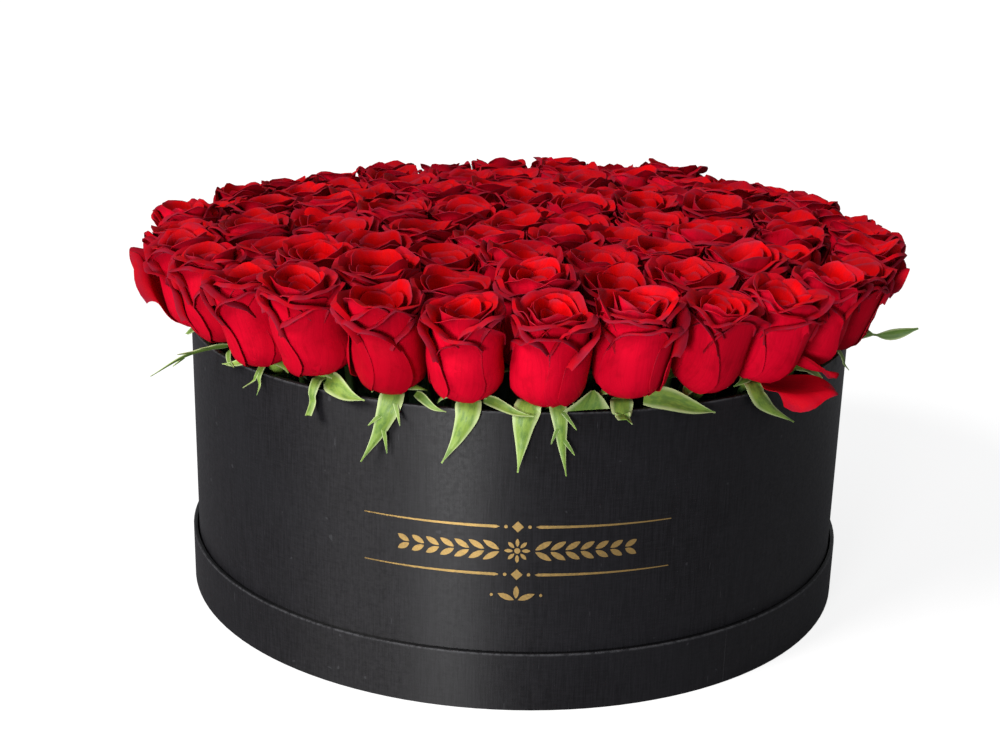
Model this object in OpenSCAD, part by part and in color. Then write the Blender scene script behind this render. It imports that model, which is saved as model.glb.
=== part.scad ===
// Round flower box. A rigid papered card box stands in its own upturned lid, which serves as
// its base tray. A waterproof liner tray inside the box holds bricks of floral foam, and cut
// roses stand in the foam in rings, with their heads just above the rim.
// Millimetres, +Z up. The origin is the centre of the lid panel's underside, on the table,
// and the gold print faces -Y.

/* [Lid] */
// Outer diameter of the papered lid
lid_od = 400; // [360:1:420]
// Height of the papered lid band
lid_h = 32; // [24:1:44]
// Thickness of the lid's card
lid_card = 1.6; // [1.2:0.1:2.4]
// Radial gap between the box and the lid
lid_gap = 1.2; // [0.6:0.1:2]

/* [Box] */
// Height of the papered box
box_h = 159; // [150:1:175]
// Thickness of the box's card
box_card = 2; // [1.5:0.1:2.5]
// Width of the cover paper that is turned in over an edge
turn_in = 15; // [8:1:24]

/* [Paper] */
// Thickness of the cover and lining papers
paper = 0.3; // [0.2:0.05:0.4]

/* [Gold print] */
// Height of the print's middle above the table
print_z = 88; // [70:1:100]
// Length of the two printed rules
rule_l = 156; // [120:1:180]
// Distance between the two rules
rule_gap = 26; // [22:1:34]
// Thickness of the foil
foil = 0.12; // [0.1:0.01:0.2]

/* [Liner and foam] */
// Height of the liner tray
liner_h = 95; // [86:1:110]
// Thickness of the liner's plastic
liner_wall = 0.6; // [0.5:0.1:1]
// Clearance between the liner and the box
liner_gap = 0.6; // [0.5:0.1:1.5]
// Length of a whole foam brick
brick_l = 230; // [200:1:240]
// Width of a whole foam brick
brick_w = 110; // [100:1:120]
// Height of a foam brick
brick_h = 80; // [70:1:84]
// Gap left by the knife between bricks
knife_gap = 0.4; // [0.2:0.1:1]

/* [Roses] */
// Number of rings of roses round the middle one
rings = 5; // [3:1:5]
// Distance between neighbouring roses
rose_pitch = 39; // [38:0.5:39]
// Outward lean of the outermost ring, in degrees
outer_lean = 22; // [12:1:24]
// Height of the lowest petals above the rim
head_lift = 8.5; // [7:0.5:11]
// Extra height of the roses in the middle
crown = 5; // [0:0.5:8]
// Height of a rose head
head_h = 50; // [44:1:54]
// Largest radius of a rose head
head_r = 18.2; // [16:0.1:18.2]
// Radius of a stem
stem_r = 2.6; // [2:0.1:3]
// Length of a cut stem, up to the petals
stem_l = 118; // [100:1:120]

/* [Hidden] */
RING_NAMES = ["centre", for (k = [1:rings]) str("ring_", k)];
BRICK_NAMES = [for (i = [1:6]) str("foam_brick_", i)];

$fn = 96;
BLACK = "#232326";
GREY_CARD = "#8d8a84";
GOLD = "#c9a255";
STEM_GREEN = "#4f7038";
SEPAL_GREEN = "#93b35c";
PETAL_RED = "#c00d24";
HEART_RED = "#d80a14";
FOAM_GREEN = "#3f6b45";
LINER_GREEN = "#2f4a3a";

lid_r = lid_od / 2;
lid_card_r = lid_r - paper;                  // outside of the lid's card ring
lid_lining_r = lid_card_r - lid_card;        // inside of the lid's card ring
lid_inner_r = lid_lining_r - paper;          // free inside of the lid
lid_floor = 2 * paper + lid_card;            // top of the lid's lined panel
lid_turn_in = 0.8 * turn_in;

box_r = lid_inner_r - lid_gap;
box_card_r = box_r - paper;
box_lining_r = box_card_r - box_card;
box_inner_r = box_lining_r - paper;
box_floor_z = lid_floor + paper;             // underside of the box's floor card
box_inside_z = box_floor_z + box_card + paper;
rim_z = lid_floor + box_h;

liner_r = box_inner_r - liner_gap;
foam_r = liner_r - liner_wall - knife_gap;
foam_z = box_inside_z + liner_wall;
bricks_half = 1.5 * brick_w;                 // half the depth of the three rows of bricks

sprig_drop = 14;                             // from the lower rule to the sprig
cup_h = 0.8 * head_h;                        // height of the outer petals' lip
wide_h = 0.36 * head_h;                      // where neighbouring heads are a pitch apart
lean_grow = 2.5;                             // how late the lean sets in towards the last ring
lean_scatter = 0.8;
turn_scatter = 0.5;
last_ring_turn = -86;
inner_ring_turn = 23;
hip_h = 9;
hip_r = 4.6;
cup_wall = 3.2;
cup_floor = 0.34;                            // share of the cup's height that is solid
cup_wide = 0.4;                              // share of the cup's height where it is widest
cup_waist = 0.9;                             // how far the cup draws in between belly and lip
cup_steps = 10;
heart_gap = 1.8;                             // between the cup's inside and the heart
heart_foot_angle = 20;                       // how far the heart's widest place is above its foot
heart_steps = 10;
flat_sepal_l = 15;
flat_sepal_w = 5.5;
sepal_w = 7;
sepal_t = 0.8;
sepal_clear = 1.4;                           // space between a hanging sepal and the box
sepal_over = 3.6;                            // from the rim up to a hanging sepal's start
sepal_bend = 5;
sepal_hang = 12;                             // middle length of the stretch that hangs straight
sepal_hang_scatter = 7;
sepal_steps = 7;

// Ring of card, paper or plastic between two radii and two heights
module band(r_in, r_out, z_low, z_high)
    translate([0, 0, z_low])
        difference() {
            cylinder(r = r_out, h = z_high - z_low);
            translate([0, 0, -1]) cylinder(r = r_in, h = z_high - z_low + 2);
        }

module disc(r, z_low, z_high)
    translate([0, 0, z_low]) cylinder(r = r, h = z_high - z_low);

// Cover paper of a wall: outside skin, cap over the card's edge, and turn-in
module cover_paper(r_out, r_in, z_low, z_high, turned)
    rotate_extrude()
        polygon([
            [r_out, z_low], [r_out, z_high], [r_in, z_high], [r_in, z_high - turned],
            [r_in + paper, z_high - turned], [r_in + paper, z_high - paper],
            [r_out - paper, z_high - paper], [r_out - paper, z_low]
        ]);

// ---- lid, standing upside down as the base tray ----
module lid_panel_paper() color(BLACK) disc(lid_card_r, 0, paper);
module lid_panel() color(GREY_CARD) disc(lid_lining_r, paper, paper + lid_card);
module lid_wall() color(GREY_CARD) band(lid_lining_r, lid_card_r, paper, lid_h - paper);
module lid_wall_paper() color(BLACK) cover_paper(lid_r, lid_inner_r, 0, lid_h, lid_turn_in);
module lid_lining()
    color(BLACK)
        rotate_extrude()
            polygon([
                [0, lid_floor - paper], [lid_lining_r, lid_floor - paper],
                [lid_lining_r, lid_h - lid_turn_in], [lid_inner_r, lid_h - lid_turn_in],
                [lid_inner_r, lid_floor], [0, lid_floor]
            ]);

// ---- box ----
module box_floor_paper() color(BLACK) disc(box_card_r, lid_floor, box_floor_z);
module box_floor() color(GREY_CARD) disc(box_lining_r, box_floor_z, box_floor_z + box_card);
module box_wall() color(GREY_CARD) band(box_lining_r, box_card_r, box_floor_z, rim_z - paper);
module box_wall_paper() color(BLACK) cover_paper(box_r, box_inner_r, lid_floor, rim_z, turn_in);
module box_floor_lining()
    color(BLACK) disc(box_lining_r, box_floor_z + box_card, box_inside_z);
module box_wall_lining()
    color(BLACK) band(box_inner_r, box_lining_r, box_inside_z, rim_z - turn_in);

// ---- gold print ----
// Presses a flat shape, drawn in X and height, onto the front of the box
module press_foil(z)
    color(GOLD)
        intersection() {
            band(box_r, box_r + foil, z - rule_gap, z + rule_gap);
            translate([0, 0, z]) rotate([90, 0, 0]) linear_extrude(box_r + 1) children();
        }

// Leaf with two round edges, its stalk end at the origin, along +X
module leaf_outline(length, width) {
    arc_r = (length * length + width * width) / (4 * width);
    translate([length / 2, 0])
        intersection() {
            translate([0, arc_r - width / 2]) circle(r = arc_r);
            translate([0, width / 2 - arc_r]) circle(r = arc_r);
        }
}

// Plain tapered rule in two halves, with a lozenge between two dots
module rule() {
    half = rule_l / 2;
    dot_x = 6;
    dot_r = 0.9;
    start = 11;
    point = 2;
    thick = 0.8;
    thin = 0.25;
    lozenge = 4.2;
    for (side = [-1, 1])
        scale([side, 1]) {
            polygon([[start, -thick], [half, -thin], [half, thin], [start, thick], [start - point, 0]]);
            translate([dot_x, 0]) circle(r = dot_r);
        }
    rotate(45) square(lozenge, center = true);
}

// Even row of leaf pairs on both sides of a small round flower
module garland() {
    pairs = 7;
    first = 9;
    step = 7.6;
    leaf_l = 9.5;
    leaf_w = 3;
    shrink = 0.45;
    leaf_rise = 0.5;
    leaf_turn = 30;
    petals = 8;
    petal_x = 2.2;
    eye_r = 1.5;
    for (side = [-1, 1], i = [0:pairs - 1], up = [-1, 1])
        scale([side, up])
            translate([first + i * step, leaf_rise])
                rotate(leaf_turn) leaf_outline(leaf_l - i * shrink, leaf_w);
    for (i = [0:petals - 1]) rotate(i * 360 / petals) translate([petal_x, 0]) leaf_outline(4.4, 1.9);
    circle(r = eye_r);
}

// Three leaves between two berries
module sprig() {
    berry = [12.5, 2.6];
    berry_r = 0.8;
    side_turn = 22;
    for (side = [-1, 1])
        scale([side, 1]) {
            translate([1, 0]) rotate(side_turn) leaf_outline(9, 3);
            translate(berry) circle(r = berry_r);
        }
    translate([0, 0.8]) rotate(90) leaf_outline(7, 2.8);
}

module foil_upper_rule() press_foil(print_z + rule_gap / 2) rule();
module foil_lower_rule() press_foil(print_z - rule_gap / 2) rule();
module foil_garland() press_foil(print_z) garland();
module foil_sprig() press_foil(print_z - rule_gap / 2 - sprig_drop) sprig();

// ---- liner and foam ----
module liner_tray()
    color(LINER_GREEN)
        rotate_extrude()
            polygon([
                [0, box_inside_z], [liner_r, box_inside_z],
                [liner_r, box_inside_z + liner_h], [liner_r - liner_wall, box_inside_z + liner_h],
                [liner_r - liner_wall, foam_z], [0, foam_z]
            ]);

// Block of foam cut to the round, between two X and two Y positions
module cut_foam(x_low, x_high, y_low, y_high)
    color(FOAM_GREEN)
        intersection() {
            disc(foam_r, foam_z, foam_z + brick_h);
            translate([x_low + knife_gap / 2, y_low + knife_gap / 2, foam_z - 1])
                cube([x_high - x_low - knife_gap, y_high - y_low - knife_gap, brick_h + 2]);
        }

// Bricks lie two to a row in three rows, numbered from the front left
module foam_brick(i) {
    row = floor(i / 2);
    x_low = i % 2 == 0 ? -brick_l : 0;
    y_low = row * brick_w - bricks_half;
    cut_foam(x_low, x_low + brick_l, y_low, y_low + brick_w);
}
module foam_offcut_front() cut_foam(-brick_l, brick_l, -foam_r - 1, -bricks_half);
module foam_offcut_back() cut_foam(-brick_l, brick_l, bricks_half, foam_r + 1);

// ---- roses ----
function ring_count(k) = k == 0 ? 1 : 6 * k;
// Small even scatter between -1 and 1, the same on every build
function scatter(k, i, channel) = sin(137.5 * i + 71 * k + 97 * channel);
function lean(k, i) =
    outer_lean * pow(k / rings, lean_grow) + lean_scatter * scatter(k, i, 1) * sign(k);
function ring_turn(k) = k == rings ? last_ring_turn : inner_ring_turn * k;
function azimuth(k, i) = ring_turn(k) + 360 / ring_count(k) * i + turn_scatter * scatter(k, i, 2);
function foot_radius(k, i) = k * rose_pitch - wide_h * tan(lean(k, i));
function height_scatter(k) = k == rings ? 1.5 : 2.5;
function foot_z(k, i) =
    rim_z + head_lift + crown * (1 - pow(k / rings, 2)) + height_scatter(k) * scatter(k, i, 3);

// Moves a rose, drawn with its petals' foot at the origin, to its place in a ring
module place_roses(k)
    for (i = [0:ring_count(k) - 1])
        rotate(azimuth(k, i))
            translate([foot_radius(k, i), 0, foot_z(k, i)])
                rotate([0, lean(k, i), 0]) children();

module stem() translate([0, 0, -stem_l]) cylinder(r = stem_r, h = stem_l - hip_h);

// Hip with five sepals spread flat below the petals; an outermost rose keeps four of them
// here, because its fifth, the outward one, hangs over the rim
module calyx(outermost) {
    arms = outermost ? [72, 144, 216, 288] : [0, 72, 144, 216, 288];
    union() {
        rotate_extrude()
            polygon([
                [0, -hip_h], [stem_r + 0.4, -hip_h], [hip_r, -hip_h * 0.6], [hip_r, -1.5],
                [hip_r - 0.6, 0], [0, 0]
            ]);
        translate([0, 0, -1.5 * sepal_t])
            linear_extrude(sepal_t)
                for (a = arms)
                    rotate(a) translate([hip_r - 1.5, 0]) leaf_outline(flat_sepal_l, flat_sepal_w);
    }
}

// Outside radius of the petals' cup at a share of its height: round below, waist, then lip
function cup_radius(s) =
    s < cup_wide ? hip_r + (head_r - hip_r) * sqrt(1 - pow(1 - s / cup_wide, 2))
                 : head_r - cup_waist * pow(sin(180 * (s - cup_wide) / (1 - cup_wide)), 2);

module outer_petals() {
    floor_z = cup_h * cup_floor;
    shares = [for (j = [0:cup_steps]) j / cup_steps];
    inside = [for (j = [cup_steps:-1:0]) if (shares[j] > cup_floor) shares[j]];
    rotate_extrude()
        polygon(concat(
            [for (s = shares) [cup_radius(s), cup_h * s]],
            [for (s = inside) [cup_radius(s) - cup_wall, cup_h * s]],
            [[cup_radius(cup_floor) - cup_wall, floor_z], [0, floor_z], [0, 0]]));
}

// Closed egg of inner petals, standing on the cup's floor; it is widest a little above its foot
module heart() {
    low = cup_h * cup_floor;
    egg_r = head_r - cup_wall - heart_gap;
    rise = (head_h - low) / (1 + sin(heart_foot_angle));
    rotate_extrude()
        polygon(concat(
            [[0, low]],
            [for (j = [0:heart_steps - 1])
                let (a = (90 + heart_foot_angle) * j / heart_steps - heart_foot_angle)
                [egg_r * cos(a), low + rise * (sin(a) + sin(heart_foot_angle))]],
            [[0, head_h]]));
}

// ---- sepals hanging over the rim ----
// Path of a sepal as [radius, height]: out over the rim, then down the outside of the box
function sepal_path(i) =
    let (start = foot_radius(rings, i) + hip_r + 0.4,
         out = box_r + sepal_clear + sepal_t,
         top = rim_z + sepal_over,
         hang = sepal_hang + sepal_hang_scatter * scatter(rings, i, 4),
         bent = 0.6)
    [for (j = [0:sepal_steps - 1])
        let (s = j / (sepal_steps - 1), a = min(90, 90 * s / bent), drop = max(0, s - bent) / (1 - bent))
        [start + (out - start) * sin(a), top - sepal_bend * (1 - cos(a)) - hang * drop]];

// Half width of a sepal at a step: broad near the hip, narrow at both ends
function sepal_half_width(j) =
    let (tip = 0.25, broad = sin(180 * pow(j / (sepal_steps - 1), 0.75)))
    tip + (sepal_w / 2 - tip) * pow(broad, 0.8);

function path_heading(path, j) =
    let (a = path[max(j - 1, 0)], b = path[min(j + 1, sepal_steps - 1)])
    atan2(b[1] - a[1], b[0] - a[0]);

// One sepal as a thin swept blade, in the plane of its own azimuth
module hanging_sepal(path) {
    corners = [[-1, -1], [1, -1], [1, 1], [-1, 1]];
    points = [for (j = [0:sepal_steps - 1])
        let (h = path_heading(path, j), w = sepal_half_width(j), t = sepal_t / 2)
        each [for (c = corners)
            [path[j][0] - c[1] * t * sin(h), c[0] * w, path[j][1] + c[1] * t * cos(h)]]];
    last = 4 * (sepal_steps - 1);
    sides = [for (j = [0:sepal_steps - 2], c = [0:3])
        let (a = 4 * j + c, b = 4 * j + (c + 1) % 4)
        each [[a, a + 4, b], [b, a + 4, b + 4]]];
    caps = [[0, 1, 2], [0, 2, 3], [last, last + 2, last + 1], [last, last + 3, last + 2]];
    polyhedron(points = points, faces = concat(sides, caps), convexity = 4);
}

module hanging_sepals()
    color(SEPAL_GREEN)
        for (i = [0:ring_count(rings) - 1])
            rotate(azimuth(rings, i)) hanging_sepal(sepal_path(i));

module rose_stems(k) color(STEM_GREEN) place_roses(k) stem();
module rose_calyxes(k) color(SEPAL_GREEN) place_roses(k) calyx(k == rings);
module rose_outer_petals(k) color(PETAL_RED) place_roses(k) outer_petals();
module rose_hearts(k) color(HEART_RED) place_roses(k) heart();

lid_panel();
lid_wall();
lid_panel_paper();
lid_wall_paper();
lid_lining();
box_floor();
box_wall();
box_floor_paper();
box_wall_paper();
box_floor_lining();
box_wall_lining();
foil_upper_rule();
foil_lower_rule();
foil_garland();
foil_sprig();
liner_tray();
foam_offcut_front();
foam_offcut_back();
hanging_sepals();
for (i = [0:len(BRICK_NAMES) - 1])
    foam_brick(i);
for (k = [0:rings]) {
    rose_stems(k);
    rose_calyxes(k);
    rose_outer_petals(k);
    rose_hearts(k);
}
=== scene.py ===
"""Looks of the round flower box: papered card, gold print and red roses.

Everything is in metres, in the frame's own axes. A rose is built in its own space, in
millimetres, with its foot at the origin and its axis along +Z, and then put on the axis of
the plain rose that the frame holds for it.
"""

import math

import bmesh
import bpy
import numpy as np
from mathutils import Matrix, Vector


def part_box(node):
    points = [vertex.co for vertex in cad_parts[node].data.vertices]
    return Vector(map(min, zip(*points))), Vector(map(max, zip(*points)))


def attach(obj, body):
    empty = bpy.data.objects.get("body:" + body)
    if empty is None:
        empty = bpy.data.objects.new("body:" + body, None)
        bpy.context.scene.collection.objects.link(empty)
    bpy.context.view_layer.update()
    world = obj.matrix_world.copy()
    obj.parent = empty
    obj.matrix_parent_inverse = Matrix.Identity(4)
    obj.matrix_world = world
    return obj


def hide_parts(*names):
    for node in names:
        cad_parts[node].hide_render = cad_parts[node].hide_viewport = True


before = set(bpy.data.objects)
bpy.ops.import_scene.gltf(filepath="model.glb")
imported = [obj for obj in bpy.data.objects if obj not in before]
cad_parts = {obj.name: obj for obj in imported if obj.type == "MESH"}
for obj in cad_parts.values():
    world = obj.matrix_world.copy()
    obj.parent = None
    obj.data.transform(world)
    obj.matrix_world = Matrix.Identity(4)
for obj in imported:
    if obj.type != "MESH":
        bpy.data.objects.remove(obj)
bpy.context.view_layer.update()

MM = 0.001
RINGS = 5
RING_NAMES = ["centre"] + [f"ring_{k}" for k in range(1, RINGS + 1)]

LID_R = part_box("lid_wall_paper")[1].x
LID_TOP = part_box("lid_wall_paper")[1].z
BOX_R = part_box("box_wall_paper")[1].x
RIM_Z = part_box("box_wall_paper")[1].z
BOX_INNER_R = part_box("box_wall_lining")[1].x


# ---------------------------------------------------------------- camera and stage

CAMERA_PLACE = Vector((-0.054, -4.418, 1.9705)) * LID_R
CAMERA_PITCH = math.radians(17.31)
CAMERA_ROLL = math.radians(1.4)
CAMERA_LENS = 53.7
SENSOR = 36.0


def make_camera():
    """A camera in front of the box, looking down on it and rolled a little."""
    data = bpy.data.cameras.new("camera")
    data.sensor_width = SENSOR
    data.lens = CAMERA_LENS
    camera = bpy.data.objects.new("camera", data)
    bpy.context.scene.collection.objects.link(camera)
    forward = Vector((0, math.cos(CAMERA_PITCH), -math.sin(CAMERA_PITCH)))
    right = Vector((1, 0, 0))
    up = right.cross(forward)
    rolled_right = math.cos(CAMERA_ROLL) * right + math.sin(CAMERA_ROLL) * up
    rolled_up = math.cos(CAMERA_ROLL) * up - math.sin(CAMERA_ROLL) * right
    turn = Matrix((rolled_right, rolled_up, -forward)).transposed()
    camera.matrix_world = Matrix.Translation(CAMERA_PLACE) @ turn.to_4x4()
    bpy.context.scene.camera = camera


def soft_light(name, kind, place, target, power, colour, **settings):
    """A light at place that faces target and isn't seen itself."""
    data = bpy.data.lights.new(name, kind)
    data.energy = power
    data.color = colour
    for key, value in settings.items():
        setattr(data, key, value)
    light = bpy.data.objects.new(name, data)
    bpy.context.scene.collection.objects.link(light)
    light.location = place
    light.rotation_euler = (Vector(target) - Vector(place)).to_track_quat("-Z", "Y").to_euler()
    light.visible_camera = False


def make_lights():
    """A large soft key from the left, a low panel at the left front for the paper's sheen, and
    a white room that shows brighter than it shines."""
    middle = (0, 0, 0.12)
    soft_light("key", "SUN", (-1.95, -1.2, 1.7), middle, 3.0, (1, 0.98, 0.96), angle=math.radians(24))
    soft_light("low_panel", "AREA", (-0.56, -1.62, 0.24), middle, 21, (1, 1, 1),
               shape="RECTANGLE", size=0.38, size_y=0.4)
    world = bpy.data.worlds.new("studio")
    world.use_nodes = True
    nodes, links = world.node_tree.nodes, world.node_tree.links
    seen = nodes["Background"]
    seen.inputs["Color"].default_value = (1, 1, 1, 1)
    seen.inputs["Strength"].default_value = 1.0
    shine = nodes.new("ShaderNodeBackground")
    shine.inputs["Color"].default_value = (0.95, 0.97, 1, 1)
    shine.inputs["Strength"].default_value = 0.34
    path = nodes.new("ShaderNodeLightPath")
    choose = nodes.new("ShaderNodeMixShader")
    links.new(path.outputs["Is Camera Ray"], choose.inputs[0])
    links.new(shine.outputs[0], choose.inputs[1])
    links.new(seen.outputs[0], choose.inputs[2])
    links.new(choose.outputs[0], nodes["World Output"].inputs["Surface"])
    bpy.context.scene.world = world


def make_floor():
    """A pale floor that throws little light back up, so that the black paper stays black."""
    s = Shader("floor", Roughness=0.9, Specular_IOR_Level=0.1, Emission_Strength=0.82)
    s.principled.inputs["Emission Color"].default_value = rgb(1, 1, 1)
    place = s.place()
    s.plug("Base Color", s.mix(s.noise(place, 3.0), rgb(0.30, 0.30, 0.30), rgb(0.32, 0.32, 0.32)))
    dim = s.node("ShaderNodeBsdfDiffuse", {"Color": rgb(0.20, 0.20, 0.21)}).outputs[0]
    seen = s.node("ShaderNodeLightPath").outputs["Is Camera Ray"]
    choose = s.node("ShaderNodeMixShader", {0: seen, 1: dim, 2: s.principled.outputs[0]}).outputs[0]
    s.tree.links.new(choose, s.tree.nodes["Material Output"].inputs["Surface"])
    reach = 14.0
    corners = [(-reach, -reach, 0), (reach, -reach, 0), (reach, reach, 0), (-reach, reach, 0)]
    floor = mesh_object("floor", corners, [(0, 1, 2, 3)], s.material)


# ---------------------------------------------------------------- mesh helpers

SHARP_ANGLE = 50        # edges bent further than this many degrees are shaded sharp


def mesh_object(name, points, faces, material, attributes=None):
    """A smooth-shaded mesh with per-vertex float or colour attributes."""
    mesh = bpy.data.meshes.new(name)
    mesh.from_pydata(np.asarray(points).tolist(), [], faces)
    for key, values in (attributes or {}).items():
        values = np.asarray(values, dtype=np.float32)
        if values.ndim == 2 and values.shape[1] == 4:
            mesh.attributes.new(key, "FLOAT_COLOR", "POINT").data.foreach_set("color", values.ravel())
        else:
            mesh.attributes.new(key, "FLOAT_VECTOR", "POINT").data.foreach_set("vector", values.ravel())
    mesh.shade_smooth()
    mesh.set_sharp_from_angle(angle=math.radians(SHARP_ANGLE))
    mesh.materials.append(material)
    obj = bpy.data.objects.new(name, mesh)
    bpy.context.scene.collection.objects.link(obj)
    return obj


def shell_faces(rows, cols):
    """Faces of a closed thin shell: an outer grid, an inner grid and the strip round their edge."""
    index = np.arange(rows * cols).reshape(rows, cols)
    a, b, c, d = index[:-1, :-1], index[:-1, 1:], index[1:, 1:], index[1:, :-1]
    outer = np.stack([a, b, c, d], -1).reshape(-1, 4)
    inner = outer[:, ::-1] + rows * cols
    ring = np.concatenate([index[0, :], index[1:, -1], index[-1, -2::-1], index[-2:0:-1, 0]])
    following = np.roll(ring, -1)
    offset = rows * cols
    edge = np.stack([following, ring, ring + offset, following + offset], -1)
    return np.concatenate([outer, inner, edge]).tolist()


def shell_points(sheet, thickness):
    """The outer and inner points of a shell, from its outer sheet of points and its thickness."""
    across = np.gradient(sheet, axis=1)
    along = np.gradient(sheet, axis=0)
    normal = np.cross(across, along)
    normal /= np.linalg.norm(normal, axis=2, keepdims=True) + 1e-9
    inner = sheet - normal * np.asarray(thickness)[..., None]
    return np.concatenate([sheet.reshape(-1, 3), inner.reshape(-1, 3)])


def round_faces(rings, sides):
    """Faces of a closed round solid whose points lie in rings, with a cap at each end."""
    index = np.arange(rings * sides).reshape(rings, sides)
    onward = np.roll(index, -1, axis=1)
    faces = np.stack([index[:-1], onward[:-1], onward[1:], index[1:]], -1).reshape(-1, 4).tolist()
    return faces + [index[0, ::-1].tolist(), index[-1].tolist()]


def lathe(profile, sides):
    """Points and faces of a closed turned solid, from [radius, height] pairs, lowest first."""
    turn = 2 * math.pi * np.arange(sides) / sides
    rings = [np.stack([r * np.cos(turn), r * np.sin(turn), np.full(sides, z)], -1) for r, z in profile]
    return np.concatenate(rings), round_faces(len(profile), sides)


def tube(path, radii, sides):
    """Points and faces of a closed round tube along a path."""
    ahead = np.gradient(path, axis=0)
    ahead /= np.linalg.norm(ahead, axis=1, keepdims=True)
    side = np.cross(ahead, np.array([0.31, 0.95, 0.05]))
    side /= np.linalg.norm(side, axis=1, keepdims=True)
    other = np.cross(ahead, side)
    turn = 2 * math.pi * np.arange(sides) / sides
    spokes = np.cos(turn)[None, :, None] * side[:, None] + np.sin(turn)[None, :, None] * other[:, None]
    points = (path[:, None] + np.asarray(radii)[:, None, None] * spokes).reshape(-1, 3)
    return points, round_faces(len(path), sides)


def smooth_path(knots, steps):
    """A smooth curve through all the knots, with steps points from each to the next."""
    knots = np.asarray(knots, dtype=float)
    padded = np.concatenate([[2 * knots[0] - knots[1]], knots, [2 * knots[-1] - knots[-2]]])
    t = np.linspace(0, 1, steps, endpoint=False)[:, None]
    out = []
    for a, b, c, d in zip(padded, padded[1:], padded[2:], padded[3:]):
        out.append(0.5 * (2 * b + (c - a) * t + (2 * a - 5 * b + 4 * c - d) * t ** 2
                          + (3 * b - a - 3 * c + d) * t ** 3))
    return np.concatenate(out + [knots[-1:]])


class Gathered:
    """Collects several shells into the points, faces and attributes of one mesh."""

    def __init__(self):
        self.points, self.faces, self.colour, self.grain, self.count = [], [], [], [], 0

    def add(self, points, faces, colour, grain):
        self.points.append(points)
        self.faces += [[corner + self.count for corner in face] for face in faces]
        self.colour.append(colour)
        self.grain.append(grain)
        self.count += len(points)

    def build(self, name, material, place=None):
        """Makes the mesh object, first moved by the matrix place if there is one."""
        points = np.concatenate(self.points)
        if place is not None:
            points = points @ place[:3, :3].T + place[:3, 3]
        extra = {"tone": np.concatenate(self.colour), "grain": np.concatenate(self.grain)}
        return mesh_object(name, points, self.faces, material, extra)


# ---------------------------------------------------------------- materials

class Shader:
    """A new material, with short calls for the nodes that feed its Principled shader."""

    def __init__(self, name, **constants):
        self.material = bpy.data.materials.new(name)
        self.material.use_nodes = True
        self.tree = self.material.node_tree
        self.principled = self.tree.nodes["Principled BSDF"]
        for socket, value in constants.items():
            self.principled.inputs[socket.replace("_", " ")].default_value = value

    def node(self, kind, inputs=None, **settings):
        """A new node with its settings, and with its inputs linked or set."""
        node = self.tree.nodes.new(kind)
        for key, value in settings.items():
            setattr(node, key, value)
        for key, value in (inputs or {}).items():
            if isinstance(value, bpy.types.NodeSocket):
                self.tree.links.new(value, node.inputs[key])
            else:
                node.inputs[key].default_value = value
        return node

    def place(self):
        return self.node("ShaderNodeTexCoord").outputs["Object"]

    def plug(self, socket, value):
        """Feeds value into one of the Principled shader's sockets."""
        self.tree.links.new(value, self.principled.inputs[socket])

    def math(self, operation, a, b=0.0, c=0.0):
        inputs = {0: a, 1: b, 2: c}
        return self.node("ShaderNodeMath", inputs, operation=operation).outputs[0]

    def span(self, value, low, high, to_low=0.0, to_high=1.0):
        """value from low..high onto to_low..to_high, smoothly and held at the ends."""
        inputs = {"Value": value, "From Min": low, "From Max": high, "To Min": to_low, "To Max": to_high}
        return self.node("ShaderNodeMapRange", inputs, interpolation_type="SMOOTHSTEP").outputs[0]

    def mix(self, factor, a, b):
        """Colour a where factor is 0 and b where it is 1."""
        return self.node("ShaderNodeMix", {0: factor, 6: a, 7: b}, data_type="RGBA").outputs[2]

    def noise(self, vector, scale, detail=3.0, roughness=0.5):
        inputs = {"Vector": vector, "Scale": scale, "Detail": detail, "Roughness": roughness}
        return self.node("ShaderNodeTexNoise", inputs).outputs["Fac"]

    def stretched(self, vector, scale, turn=(0, 0, 0)):
        inputs = {"Vector": vector, "Rotation": turn, "Scale": scale}
        return self.node("ShaderNodeMapping", inputs).outputs[0]

    def bump(self, height, strength, distance, normal=None):
        inputs = {"Height": height, "Strength": strength, "Distance": distance}
        if normal is not None:
            inputs["Normal"] = normal
        return self.node("ShaderNodeBump", inputs).outputs[0]


def rgb(r, g, b):
    return (r, g, b, 1.0)


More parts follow.
